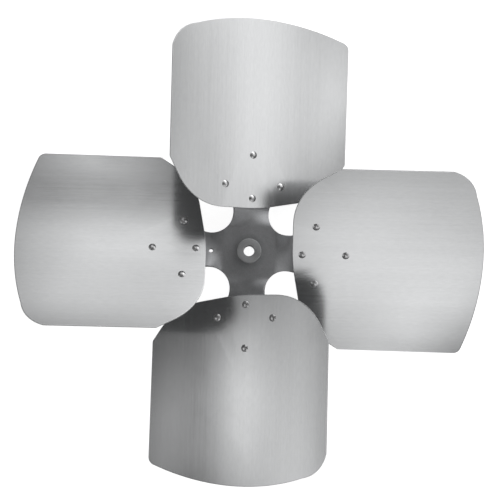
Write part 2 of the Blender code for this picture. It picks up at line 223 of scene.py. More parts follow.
def inside(points: np.ndarray, loop: np.ndarray) -> np.ndarray:
    """Tells which points lie inside a closed loop, by counting how often a ray towards +X crosses it.

    Args:
        points: Rows of (x, y).
        loop: Corners of the loop, as rows of (x, y).

    Returns:
        True for each point inside.
    """
    x, y = points[:, 0][:, None], points[:, 1][:, None]
    x0, y0 = loop[:, 0][None, :], loop[:, 1][None, :]
    x1, y1 = np.roll(loop[:, 0], -1)[None, :], np.roll(loop[:, 1], -1)[None, :]
    rise = np.where(y1 == y0, 1.0, y1 - y0)
    crossed = ((y0 > y) != (y1 > y)) & (x < x0 + (y - y0) * (x1 - x0) / rise)
    return crossed.sum(axis=1) % 2 == 1


def edge_profile(radius: float, thickness: float) -> np.ndarray:
    """Section of a sheet's rounded edge as rows of (distance in from the edge, depth below the top face).

    Two quarter circles of the given radius, sampled at 30 degrees, with the straight wall between them.

    Args:
        radius: Radius of the rounding.
        thickness: Thickness of the sheet.

    Returns:
        The rows, from the top face to the bottom face.
    """
    angle = np.radians([0.0, 30.0, 60.0, 90.0])
    top = np.column_stack([radius * (1.0 - np.sin(angle)), radius * (1.0 - np.cos(angle))])
    bottom = np.column_stack([top[::-1, 0], thickness - top[::-1, 1]])
    return np.vstack([top, bottom])


# Meshes


@dataclass
class Surface:
    """A surface ready to become a mesh: points, and faces as rows of point numbers.

    It may have a UV for each face corner, and for each point whether it lies on a cut edge, from 0 to 1.
    """

    points: np.ndarray
    faces: list[np.ndarray]
    corner_uv: np.ndarray | None = None
    cut_edge: np.ndarray | None = None

    def to_object(self, name: str, material: bpy.types.Material) -> bpy.types.Object:
        """Makes the mesh object, smooth shaded, at the origin.

        Args:
            name: Name of the new piece.
            material: Its finish.

        Returns:
            The object, linked into the scene.
        """
        mesh = bpy.data.meshes.new(name)
        polygons = [polygon for group in self.faces for polygon in group.tolist()]
        mesh.from_pydata(self.points.tolist(), [], polygons)
        if self.corner_uv is not None:
            layer = mesh.uv_layers.new(name=SHEET_UV)
            layer.data.foreach_set("uv", self.corner_uv.astype(np.float32).ravel())
        if self.cut_edge is not None:
            edge = mesh.attributes.new(CUT_EDGE, "FLOAT", "POINT")
            edge.data.foreach_set("value", self.cut_edge.astype(np.float32))
        mesh.materials.append(material)
        mesh.shade_smooth()
        mesh.update()
        piece = bpy.data.objects.new(name, mesh)
        bpy.context.scene.collection.objects.link(piece)
        return piece


def ring_surface(rings: np.ndarray, uv: np.ndarray, closure: Closure) -> Surface:
    """Joins rings of points into a closed surface.

    Neighbouring points of neighbouring rings make a quad, or a triangle at a pole. The faces look outwards
    where the rings run anticlockwise and follow one another from the top middle outwards, down the outside
    and back in below.

    Args:
        rings: Points as (ring, place on the ring, xyz). With POLES an end ring is one point.
        uv: UV as (ring, place on the ring + 1, uv), so that the seam has a value of its own on either side.
        closure: How the surface is closed.

    Returns:
        The surface.
    """
    count, around = rings.shape[:2]
    number = np.arange(count)[:, None] * around + np.arange(around + 1) % around
    if closure is Closure.POLES:
        # Each end ring is one point, so the numbers move down and stop at the first and the last, and the
        # quads of the end rows lose the corner that falls together with its neighbour.
        points = np.vstack([rings[0, :1], rings[1:-1].reshape(-1, 3), rings[-1, :1]])
        number = np.clip(number - around + 1, 0, len(points) - 1)
        groups = [(slice(1, -1), [0, 1, 2, 3]), (slice(0, 1), [0, 1, 2]), (slice(-1, None), [0, 1, 3])]
    else:
        points = rings.reshape(-1, 3)
        number, uv = (np.concatenate([grid, grid[:1]]) for grid in (number, uv))
        groups = [(slice(None), [0, 1, 2, 3])]
    corners, corner_uv = (
        np.stack([grid[:-1, :-1], grid[1:, :-1], grid[1:, 1:], grid[:-1, 1:]], axis=2)
        for grid in (number, uv)
    )
    faces = [corners[rows][:, :, kept].reshape(-1, len(kept)) for rows, kept in groups]
    face_uv = [corner_uv[rows][:, :, kept].reshape(-1, 2) for rows, kept in groups]
    return Surface(points, faces, np.vstack(face_uv))


def lathe(profile: np.ndarray, sides: int, closure: Closure) -> Surface:
    """Turns a profile about +Z: (r, h) becomes (r cos a, r sin a, h).

    Args:
        profile: Rows of (radius, height), from the top middle outwards, down the outside and back in.
        sides: Number of steps round the axis.
        closure: POLES for a profile that starts and ends on the axis, LOOP for one with a bore.

    Returns:
        The surface, with U along the profile and V round the axis, both in metres.
    """
    angle = np.arange(sides + 1) * math.tau / sides
    radius, height = profile[:, 0][:, None], profile[:, 1][:, None]
    rings = np.stack([radius * np.cos(angle), radius * np.sin(angle), height + 0.0 * angle], axis=-1)
    length = np.concatenate([[0.0], np.cumsum(np.linalg.norm(np.diff(profile, axis=0), axis=1))])
    around = angle * float(profile[:, 0].max())
    uv = np.stack(np.broadcast_arrays(length[:, None], around[None, :]), axis=-1)
    return ring_surface(rings[:, :-1], uv, closure)


@dataclass(frozen=True)
class RolledSheet:
    """The shape of the blades and arms: a cylinder of one radius, pitched about its rivet line."""

    pitch: float = math.radians(24.9)
    camber_radius: float = 430.0 * MM
    rivet_line_offset: float = 2.6 * MM
    rivet_plane: float = 35.971 * MM

    def place(self, s: np.ndarray, v: np.ndarray, depth: np.ndarray | float) -> np.ndarray:
        """Puts points of the flat +Y blade on the rolled sheet.

        With a = pitch - s / R, a point is at x = x0 + R sin(pitch) - (R + depth) sin(a) and at
        z = z0 + R cos(pitch) - (R + depth) cos(a), and y is v.

        Args:
            s: Distance across the blade from the rivet line, positive on the low side.
            v: Distance out from the fan axis.
            depth: Distance below the sheet's upper face.

        Returns:
            Array of xyz rows.
        """
        angle = self.pitch - s / self.camber_radius
        radius = self.camber_radius + depth
        x = self.rivet_line_offset + self.camber_radius * math.sin(self.pitch) - radius * np.sin(angle)
        z = self.rivet_plane + self.camber_radius * math.cos(self.pitch) - radius * np.cos(angle)
        return np.stack(np.broadcast_arrays(x, v, z), axis=-1)

    def across(self, x: np.ndarray, depth: float) -> np.ndarray:
        """Gives s for a plan x at a depth, the inverse of place."""
        from_centre = self.rivet_line_offset + self.camber_radius * math.sin(self.pitch) - x
        return self.camber_radius * (self.pitch - np.arcsin(from_centre / (self.camber_radius + depth)))

    def normal(self, s: float) -> np.ndarray:
        """Gives the upward unit normal of the +Y blade at s."""
        angle = self.pitch - s / self.camber_radius
        return np.array([math.sin(angle), 0.0, math.cos(angle)])


# Finishes


def add_node(
    tree: bpy.types.NodeTree,
    kind: str,
    inputs: dict[str | int, object] | None = None,
    settings: dict[str, object] | None = None,
) -> bpy.types.Node:
    """Adds a node with its settings, constants and links.

    Args:
        tree: Node tree that gets the node.
        kind: Blender's name of the node type.
        inputs: Value or source socket for each input, by its name or number.
        settings: Value of each property of the node.

    Returns:
        The node.
    """
    node = tree.nodes.new(kind)
    for name, value in (settings or {}).items():
        setattr(node, name, value)
    for name, value in (inputs or {}).items():
        if isinstance(value, bpy.types.NodeSocket):
            tree.links.new(value, node.inputs[name])
        else:
            node.inputs[name].default_value = value
    return node


def fresh_material(name: str) -> tuple[bpy.types.Material, bpy.types.NodeTree]:
    """Makes a material with an empty node tree.

    Args:
        name: Name of the finish.

    Returns:
        The material and its tree.
    """
    material = bpy.data.materials.new(name)
    material.use_nodes = True
    material.node_tree.nodes.clear()
    return material, material.node_tree


@dataclass(frozen=True)
class Layer:
    """One noise of a finish: cell size along each axis, lowest and highest value, and finer octaves."""

    size: tuple[float, float, float]
    spread: tuple[float, float]
    detail: float


def pattern(tree: bpy.types.NodeTree, source: bpy.types.NodeSocket, layer: Layer) -> bpy.types.NodeSocket:
    """Draws a noise whose cells have a real size and whose value lies between two limits.

    Args:
        tree: Node tree that gets the nodes.
        source: Coordinates in metres.
        layer: The noise.

    Returns:
        Socket with the value.
    """
    frequency = tuple(1.0 / length for length in layer.size)
    scaled = add_node(tree, "ShaderNodeMapping", {"Vector": source, "Scale": frequency})
    octaves = {"Scale": 1.0, "Detail": layer.detail, "Roughness": OCTAVE_FADE}
    noise = add_node(tree, "ShaderNodeTexNoise", {"Vector": scaled.outputs[0], **octaves})
    limits = zip(("From Min", "From Max", "To Min", "To Max"), (*NOISE_RANGE, *layer.spread))
    return add_node(tree, "ShaderNodeMapRange", {"Value": noise.outputs["Fac"], **dict(limits)}).outputs[0]


def shade_metal(
    tree: bpy.types.NodeTree, hex_code: str, factor: bpy.types.NodeSocket, inputs: dict[str | int, object]
) -> None:
    """Ends a finish: its colour is scaled by a factor and goes with the other inputs to the shader.

    Args:
        tree: Node tree of the finish.
        hex_code: Its colour as "#rrggbb".
        factor: What the colour is scaled by.
        inputs: Value or source socket for each other input of the shader.
    """
    scaled = {0: linear(hex_code)[:3], "Scale": factor}
    colour = add_node(tree, "ShaderNodeVectorMath", scaled, {"operation": "SCALE"}).outputs[0]
    shader = add_node(tree, "ShaderNodeBsdfPrincipled", {"Base Color": colour, **inputs})
    add_node(tree, "ShaderNodeOutputMaterial", {"Surface": shader.outputs[0]})


# A tangent node's settings on the UV map of a mesh.
UV_TANGENT = {"direction_type": "UV_MAP", "uv_map": SHEET_UV}

# Cells of the sheet's patterns, across the roll lines and along them. A real roll line is about 0.1 mm wide,
# too fine for the picture, so it is drawn sixteen times as wide.
ROLL_LINE = (1.6 * MM, 140.0 * MM, 1.0)
CLOUD = (34.0 * MM, 52.0 * MM, 1.0)


@dataclass(frozen=True)
class MillAluminium:
    """Mill-finish aluminium sheet, cold rolled between ground rolls.

    The rolls leave fine lines along the sheet, so a reflection stays sharp along the lines and spreads
    across them. The plain metal oxidises to a soft pale grey with faint clouds and handling marks. The shears
    leave the cut edge torn and dull, so it scatters light almost evenly and looks as pale as the sheet.
    """

    name: str = "mill_finish_aluminium_sheet"
    colour: str = "#e4e5e6"
    # What roll lines, wider bands, clouds and handling marks add to the colour, as a share of it.
    tones: tuple[Layer, ...] = (
        Layer(ROLL_LINE, (-0.029, 0.029), 4.0),
        Layer((9.0 * MM, 600.0 * MM, 1.0), (-0.016, 0.016), 2.0),
        Layer(CLOUD, (-0.030, 0.020), 3.0),
        Layer((2.2 * MM, 9.0 * MM, 1.0), (-0.032, 0.020), 2.0),
    )
    anisotropic: float = 0.6
    roughness_lines: Layer = Layer(ROLL_LINE, (0.145, 0.195), detail=3.0)
    roughness_clouds: Layer = Layer(CLOUD, (-0.02, 0.03), detail=2.0)
    relief: Layer = Layer(ROLL_LINE, (0.0, 1.0), detail=3.0)
    relief_strength: float = 0.10
    # How much less metallic the cut edge is, and how much rougher.
    cut_edge_dulling: float = 0.8
    cut_edge_roughness: float = 0.35

    def make(self) -> bpy.types.Material:
        """Builds the material on the sheet's own UV map and cut-edge attribute.

        Returns:
            The material.
        """
        material, tree = fresh_material(self.name)
        uv = add_node(tree, "ShaderNodeUVMap", settings={"uv_map": SHEET_UV}).outputs[0]
        factor: bpy.types.NodeSocket | float = 1.0
        for layer in self.tones:
            both = {0: factor, 1: pattern(tree, uv, layer)}
            factor = add_node(tree, "ShaderNodeMath", both, {"operation": "ADD"}).outputs[0]
        both = {0: pattern(tree, uv, self.roughness_lines), 1: pattern(tree, uv, self.roughness_clouds)}
        roughness = add_node(tree, "ShaderNodeMath", both, {"operation": "ADD"}).outputs[0]
        cut = add_node(tree, "ShaderNodeAttribute", settings={"attribute_name": CUT_EDGE}).outputs["Fac"]
        scaled_sum = {"operation": "MULTIPLY_ADD"}
        terms = {0: cut, 1: -self.cut_edge_dulling, 2: 1.0}
        metallic = add_node(tree, "ShaderNodeMath", terms, scaled_sum).outputs[0]
        terms = {0: cut, 1: self.cut_edge_roughness, 2: roughness}
        roughness = add_node(tree, "ShaderNodeMath", terms, scaled_sum).outputs[0]
        tangent = add_node(tree, "ShaderNodeTangent", settings=UV_TANGENT)
        height = pattern(tree, uv, self.relief)
        relief = {"Height": height, "Strength": self.relief_strength, "Distance": RELIEF_DEPTH}
        bump = add_node(tree, "ShaderNodeBump", relief)
        inputs = {"Metallic": metallic, "Roughness": roughness, "Anisotropic": self.anisotropic}
        inputs |= {"Tangent": tangent.outputs[0], "Normal": bump.outputs[0]}
        shade_metal(tree, self.colour, factor, inputs)
        return material


@dataclass(frozen=True)
class SatinMetal:
    """A satin metal with a mottled tone and fine grit; each piece that uses it says what it is made of.

    Its grit is really about 0.05 mm, too fine for the picture, so it is drawn at 0.6 mm or more. Turning
    marks are about 0.1 mm apart and are drawn five times as wide.
    """

    name: str
    colour: str
    roughness: float
    roughness_spread: float = 0.05
    anisotropic: float = 0.0
    mottle: float = 0.07
    mottle_size: float = 5.0 * MM
    grit: float = 0.05
    grit_size: float = 0.9 * MM
    relief_strength: float = 0.25
    # A painted shade, darkest near the axis in plan, darkens the metal to this share of its colour at the
    # start, and fades out at the reach; the spider has it round the foot of the hub.
    painted_shade_tone: float = 0.76
    painted_shade_start: float = 14.0 * MM
    painted_shade_reach: float = 0.0
    turned_on_lathe: bool = False
    lathe_mark: tuple[float, float, float] = (0.5 * MM, 30.0 * MM, 1.0)

    def make(self) -> bpy.types.Material:
        """Builds the material on Object coordinates, and on the UV map of a piece turned on a lathe.

        Returns:
            The material.
        """
        material, tree = fresh_material(self.name)
        place = add_node(tree, "ShaderNodeTexCoord").outputs["Object"]
        mottle_cell, grit_cell = (self.mottle_size,) * 3, (self.grit_size,) * 3
        mottle = pattern(tree, place, Layer(mottle_cell, (1.0 - self.mottle, 1.0 + self.mottle), detail=4.0))
        grit = pattern(tree, place, Layer(grit_cell, (1.0 - self.grit, 1.0 + self.grit), detail=2.0))
        product = {"operation": "MULTIPLY"}
        factor = add_node(tree, "ShaderNodeMath", {0: mottle, 1: grit}, product).outputs[0]
        # Painted shade: the colour darkens towards the axis in plan, where the hub stands on the spider.
        if self.painted_shade_reach > 0.0:
            plan = add_node(tree, "ShaderNodeVectorMath", {0: place, 1: (1.0, 1.0, 0.0)}, product)
            out = add_node(tree, "ShaderNodeVectorMath", {0: plan.outputs[0]}, {"operation": "LENGTH"})
            fade = {"From Min": self.painted_shade_start, "From Max": self.painted_shade_reach}
            fade |= {"Value": out.outputs["Value"], "To Min": self.painted_shade_tone, "To Max": 1.0}
            painted_shade = add_node(tree, "ShaderNodeMapRange", fade).outputs[0]
            factor = add_node(tree, "ShaderNodeMath", {0: factor, 1: painted_shade}, product).outputs[0]
        spread = (self.roughness - self.roughness_spread, self.roughness + self.roughness_spread)
        inputs = {"Metallic": 1.0, "Roughness": pattern(tree, place, Layer(mottle_cell, spread, detail=3.0))}
        if self.turned_on_lathe:
            uv = add_node(tree, "ShaderNodeUVMap", settings={"uv_map": SHEET_UV}).outputs[0]
            height = pattern(tree, uv, Layer(self.lathe_mark, (0.0, 1.0), detail=1.0))
            tangent = add_node(tree, "ShaderNodeTangent", settings=UV_TANGENT)
            inputs |= {"Anisotropic": self.anisotropic, "Tangent": tangent.outputs[0]}
        else:
            height = pattern(tree, place, Layer(grit_cell, (0.0, 1.0), detail=2.0))
        relief = {"Height": height, "Strength": self.relief_strength, "Distance": RELIEF_DEPTH}
        inputs["Normal"] = add_node(tree, "ShaderNodeBump", relief).outputs[0]
        shade_metal(tree, self.colour, factor, inputs)
        return material


# Pieces


@dataclass(frozen=True)
class BladeSet:
    """The four blades: one flat blank of sheet, rolled and pitched, with a small rounding on its cut edge.

    Spots on the blank are (s, v): s across the blade, positive on its low side, and v out from the fan axis.
    """

    sheet: RolledSheet
    finish: MillAluminium = MillAluminium()
    thickness: float = 1.6 * MM
    edge_radius: float = 0.3 * MM
    tip_radius: float = 279.35 * MM
    tip_arc_radius: float = 280.0 * MM
    raised_root: tuple[float, float] = (-115.8 * MM, 106.6 * MM)
    raised_shoulder: tuple[float, float] = (-80.2 * MM, 51.4 * MM)
    inner_bend: tuple[float, float] = (10.3 * MM, 51.4 * MM)
    low_shoulder: tuple[float, float] = (88.7 * MM, 65.8 * MM)
    low_root: tuple[float, float] = (116.2 * MM, 108.4 * MM)
    low_tip_s: float = 117.9 * MM
    shoulder_radius: float = 75.0 * MM
    inner_bend_radius: float = 200.0 * MM
    low_root_radius: float = 4.0 * MM
    low_tip_radius: float = 10.0 * MM
    raised_tip_start_s: float = -82.0 * MM
    raised_tip_middle: tuple[float, float] = (-105.8 * MM, 255.0 * MM)
    raised_tip_end_v: float = 237.9 * MM
    outline_step: float = 2.5 * MM
    # The rings of points shrink towards this spot, from just inside the edge to a small first ring.
    middle: tuple[float, float] = (0.0, 165.0 * MM)
    support_inset: float = 0.9 * MM
    first_ring: float = 0.08
    ring_count: int = 18
    # Distance between two blades' places in the patterns, so that no two look the same.
    pattern_shift: float = 0.5
    # Waves in the sheet: share of the depth, length along s, length along v, share of the blade's own phase.
    wave_depth: float = 0.035 * MM
    waves: tuple[tuple[float, float, float, float], ...] = (
        (1.0, 21.0 * MM, 60.0 * MM, 1.0),
        (0.8, 75.0 * MM, 26.0 * MM, -0.6),
        (0.5, 17.0 * MM, 17.0 * MM, 2.3),
    )
    wave_phase: float = 1.7
    # Where the waves have died out, and where they are full: at the long edges, the root and the tip.
    wave_sides: tuple[float, float] = (112.0 * MM, 80.0 * MM)
    wave_root: tuple[float, float] = (60.0 * MM, 120.0 * MM)
    wave_tip: tuple[float, float] = (270.0 * MM, 235.0 * MM)

    def tip_v(self, s: np.ndarray | float) -> np.ndarray:
        """Height of the tip arc: v = tip radius - arc radius + root(arc radius^2 - s^2)."""
        return self.tip_radius - self.tip_arc_radius + np.sqrt(self.tip_arc_radius**2 - np.square(s))

    def outline(self) -> np.ndarray:
        """Outlines the blank anticlockwise from the raised root corner.

        Returns:
            Array of (s, v) rows.
        """
        step = self.outline_step
        corners = [
            (self.raised_root, 0.0),
            (self.raised_shoulder, self.shoulder_radius),
            (self.inner_bend, self.inner_bend_radius),
            (self.low_shoulder, self.shoulder_radius),
            (self.low_root, self.low_root_radius),
        ]
        low_tip = np.array([self.low_tip_s, float(self.tip_v(self.low_tip_s))])
        slope = self.low_tip_s / math.sqrt(self.tip_arc_radius**2 - self.low_tip_s**2)
        along_tip = np.array([0.0, low_tip[1] + self.low_tip_s * slope])
        spots = [spot for spot, _ in corners] + [low_tip]
        parts = [
            fillet(spots[k - 1], spot, spots[k + 1], radius, step)
            for k, (spot, radius) in enumerate(corners)
        ]
        parts.append(fillet(self.low_root, low_tip, along_tip, self.low_tip_radius, step / 2.0))
        start_s = self.raised_tip_start_s
        tip_s = np.arange(parts[-1][-1, 0] - step, start_s + step / 2.0, -step)
        parts.append(np.column_stack([tip_s, self.tip_v(tip_s)]))
        start, end = (start_s, float(self.tip_v(start_s))), (self.raised_root[0], self.raised_tip_end_v)
        parts.append(arc_through(start, self.raised_tip_middle, end, step))
        return np.vstack(parts)

    def surface(self, side: Side) -> Surface:
        """Carries the sheet's section round the outline: out to the edge, round it, and back in below.

        Args:
            side: Which of the four blades it is.

        Returns:
            The blade's surface in its own place.
        """
        outline = self.outline()
        profile = edge_profile(self.edge_radius, self.thickness)
        share = np.concatenate([[0.0], np.linspace(self.first_ring, 1.0, self.ring_count)])
        rim = np.stack([inset_loop(outline, inset) for inset, _ in profile])
        middle = np.array(self.middle)
        fan = middle + (inset_loop(outline, self.support_inset) - middle) * share[:, None, None]
        flat = np.vstack([fan, rim, fan[::-1]])
        depth = np.concatenate([np.zeros(len(share)), profile[:, 1], np.full(len(share), self.thickness)])
        wave = self.waviness(flat[..., 0], flat[..., 1], side)
        rings = self.sheet.place(flat[..., 0], flat[..., 1], depth[:, None] + wave)
        shift = np.array([self.pattern_shift * list(Side).index(side), 0.0])
        uv = np.concatenate([flat, flat[:, :1]], axis=1) + shift
        blade = ring_surface(turned(rings, side.value), uv, Closure.POLES)
        cut = np.zeros(len(rings))
        cut[len(share) + 1 : len(share) + len(profile) - 1] = 1.0
        blade.cut_edge = np.concatenate([cut[:1], np.repeat(cut[1:-1], len(outline)), cut[-1:]])
        return blade

    def waviness(self, s: np.ndarray, v: np.ndarray, side: Side) -> np.ndarray:
        """Depth of the gentle waves that rolling leaves in thin sheet, as sines that fade out at the edges.

        Each wave is its share of the depth times sin(s / length + v / length + the blade's own phase).

        Args:
            s: Place across the blade.
            v: Place out from the fan axis.
            side: Which of the four blades it is.

        Returns:
            Depth below the smooth sheet, in the shape of s and v.
        """
        phase = self.wave_phase * list(Side).index(side)
        wave = sum(
            share * np.sin(s / s_length + v / v_length + own_share * phase)
            for share, s_length, v_length, own_share in self.waves
        )
        fade = smoothstep(v, *self.wave_root) * smoothstep(v, *self.wave_tip)
        return self.wave_depth * wave * fade * smoothstep(np.abs(s), *self.wave_sides)

    def build(self) -> list[bpy.types.Object]:
        """Builds the four blades and lets them stand for the CAD blades.

        Returns:
            The blades.
        """
        material = self.finish.make()
        blades = []
        for side in Side:
            blade = self.surface(side).to_object(f"blade_{side.name.lower()}_sheet", material)
            attach(blade, f"blade_{side.name.lower()}")
            blades.append(blade)
        return blades


@dataclass(frozen=True)
class SpiderStamping:
    """The spider: flat middle, four bites, twisted necks and arm ends that lie under the blades.

    It is stamped steel under a thin zinc plate that has gone dull, which looks mottled and darker than the
    blades, with a painted shade that darkens it further round the foot of the hub.
    """

    sheet: RolledSheet
    # Its finish paints a shade on the plate round the foot of the hub, out to 22 mm from the axis.
    finish: SatinMetal = SatinMetal(
        "dulled_zinc_plate_on_steel", "#b8b9bb", 0.54, grit=0.09, grit_size=1.3 * MM, painted_shade_reach=22.0 * MM
    )
    thickness: float = 3.0 * MM
    arm_depth: float = 1.9 * MM
    drop: float = 1.9 * MM
    edge_radius: float = 0.4 * MM
    # How far out an arm leaves the flat middle, and how far out it has the blades' pitch.
    twist: tuple[float, float] = (30.0 * MM, 50.0 * MM)
    bite_radius: float = 25.9 * MM
    bite_distance: float = 65.7 * MM
    bite_turn: float = math.radians(-1.7)
    tip_lobe_radius: float = 12.0 * MM
    hub_hole_radius: float = 9.8 * MM
    hub_hole_sides: int = 48
    pilot_hole: tuple[float, float] = (-45.4 * MM, 0.0)
    pilot_hole_radius: float = 2.4 * MM
    outline_step: float = 1.2 * MM
    fill_step: float = 2.4 * MM

    def plan_x(self, s: float) -> float:
        """X seen from above of a spot s across the +Y arm, halfway through its thickness."""
        return float(self.sheet.place(s, 0.0, self.arm_depth + self.thickness / 2.0)[0])

    def half_arm(self, hand: float) -> np.ndarray:
        """Outlines half of the +Y arm from above as three touching arcs: bite, side lobe and tip lobe.

        Args:
            hand: 1 for the half on the +X side, or -1 for the other half, which comes out mirrored.

        Returns:
            Array of (x, y) rows from the bite to the tip.
        """
        diagonal = math.pi / 4.0 + hand * self.bite_turn
        bite = self.bite_distance * np.array([math.cos(diagonal), math.sin(diagonal)])
        side_s, side_v = RivetSpot.LOW_SIDE.value
        side = np.array([hand * self.plan_x(hand * side_s), side_v])
        tip = np.array([hand * self.plan_x(0.0), RivetSpot.OUTER.value[1]])
        reach = side - bite
        side_radius = float(np.linalg.norm(reach)) - self.bite_radius
        touch = math.atan2(reach[1], reach[0])
        to_tip = tip - side
        lean = math.asin((side_radius - self.tip_lobe_radius) / float(np.linalg.norm(to_tip)))
        shoulder = math.atan2(to_tip[1], to_tip[0]) - math.pi / 2.0 + lean
        step = self.outline_step
        return np.vstack(
            [
                arc(bite, self.bite_radius, diagonal + math.pi, touch, step),
                arc(side, side_radius, touch - math.pi, shoulder, step)[1:],
                arc(tip, self.tip_lobe_radius, shoulder, math.pi / 2.0, step),
            ]
        )

    def outline(self) -> np.ndarray:
        """Outlines the whole stamping from above, anticlockwise.

        Returns:
            Array of (x, y) rows.
        """
        left = self.half_arm(-1.0) * np.array([-1.0, 1.0])
        arm = np.vstack([self.half_arm(1.0), left[-2:0:-1]])
        return np.vstack([turned(arm, quarter * 90.0) for quarter in range(4)])

    def place(self, plan: np.ndarray, depth: float) -> np.ndarray:
        """Puts plan points at their height: level near the axis, and blended into the roll along each arm.

        The share of the rolled shape rises as a smoothstep of the distance out along the arm.

        Args:
            plan: Rows of (x, y).
            depth: Distance below the upper face.

        Returns:
            Array of xyz rows.
        """
        points = np.column_stack([plan, np.full(len(plan), self.sheet.rivet_plane - self.drop - depth)])
        middle = self.arm_depth + self.thickness / 2.0
        for side in Side:
            own = turned(plan, -side.value)
            arm = (own[:, 1] > self.twist[0]) & (np.abs(own[:, 0]) < own[:, 1])
            x, v = own[arm].T
            rolled = self.sheet.place(self.sheet.across(x, middle), v, self.arm_depth + depth)
            level = np.column_stack([x, v, points[arm, 2]])
            share = smoothstep(v, *self.twist)[:, None]
            points[arm] = turned(level * (1.0 - share) + rolled * share, side.value)
        return points

    def surface(self) -> Surface:
        """Fills the outline with triangles, lifts both faces to their heights and rounds the edges.

        The pilot hole has half as many sides as the hub's hole.

        Returns:
            The closed surface.
        """
        hole_angle = -np.arange(self.hub_hole_sides) * math.tau / self.hub_hole_sides
        unit = np.column_stack([np.cos(hole_angle), np.sin(hole_angle)])
        loops = [self.outline(), self.hub_hole_radius * unit]
        loops.append(np.array(self.pilot_hole) + self.pilot_hole_radius * unit[::2])
        return plate_surface(loops, self.fill_step, self.thickness, self.edge_radius, self.place)

    def build(self) -> list[bpy.types.Object]:
        """Builds the stamping and lets it stand for the CAD spider.

        Returns:
            The spider alone.
        """
        spider = self.surface().to_object("spider_stamping", self.finish.make())
        attach(spider, "spider")
        return [spider]


def plate_surface(
    loops: list[np.ndarray],
    fill_step: float,
    thickness: float,
    edge_radius: float,
    place: Callable[[np.ndarray, float], np.ndarray],
) -> Surface:
    """Makes a plate of even thickness from its plan.

    Both faces are one triangulation of the plan, and the edge section is carried along every loop.

    Args:
        loops: Outline, anticlockwise, and then the holes, clockwise.
        fill_step: Spacing of the points inside.
        thickness: Thickness of the plate.
        edge_radius: Radius of its rounded edges.
        place: Gives the xyz of plan points at a depth below the upper face.

    Returns:
        The closed surface.
    """
    rims = [inset_loop(loop, edge_radius) for loop in loops]
    guards = [inset_loop(loop, edge_radius + RIM_CLEARANCE * fill_step) for loop in loops]
    reach = float(np.abs(loops[0]).max())
    line = np.arange(-reach, reach, fill_step)
    fill = np.stack(np.meshgrid(line, line), axis=-1).reshape(-1, 2)
    fill[:, 0] += np.where(np.arange(len(fill)) // len(line) % 2 == 0, 0.0, fill_step / 2.0)
    keep = inside(fill, guards[0])
    for guard in guards[1:]:
        keep &= ~inside(fill, guard)
    points = np.vstack([*rims, fill[keep]])
    starts = np.cumsum([0] + [len(rim) for rim in rims])
    edges = [(a + i, a + (i + 1) % (b - a)) for a, b in zip(starts, starts[1:]) for i in range(b - a)]
    seeds = [Vector(p) for p in (points / MM).tolist()]
    flat, _, faces, origin, _, _ = delaunay_2d_cdt(seeds, edges, [], 0, SAME_POINT)
    flat = np.array([tuple(p) for p in flat]) * MM
    faces = np.array(faces)
    centre = flat[faces].mean(axis=1)
    solid = inside(centre, rims[0])
    for rim in rims[1:]:
        solid &= ~inside(centre, rim)
    faces = faces[solid]
    number = np.empty(len(points), dtype=int)
    for new, old in enumerate(origin):
        number[old] = new
    count = len(flat)
    profile = edge_profile(edge_radius, thickness)
    blocks = [place(flat, 0.0), place(flat, thickness)]
    polygons = [faces, faces[:, ::-1] + count]
    used = 2 * count
    for loop, start, end in zip(loops, starts, starts[1:]):
        around = end - start
        walls = [place(inset_loop(loop, inset), depth) for inset, depth in profile[1:-1]]
        blocks += walls
        inner = used + np.arange(len(walls) * around).reshape(len(walls), around)
        used += len(walls) * around
        rows = np.vstack([number[start:end], inner, number[start:end] + count])
        after = np.roll(rows, -1, axis=1)
        polygons.append(np.stack([rows[:-1], rows[1:], after[1:], after[:-1]], axis=-1).reshape(-1, 4))
    return Surface(np.vstack(blocks), polygons)


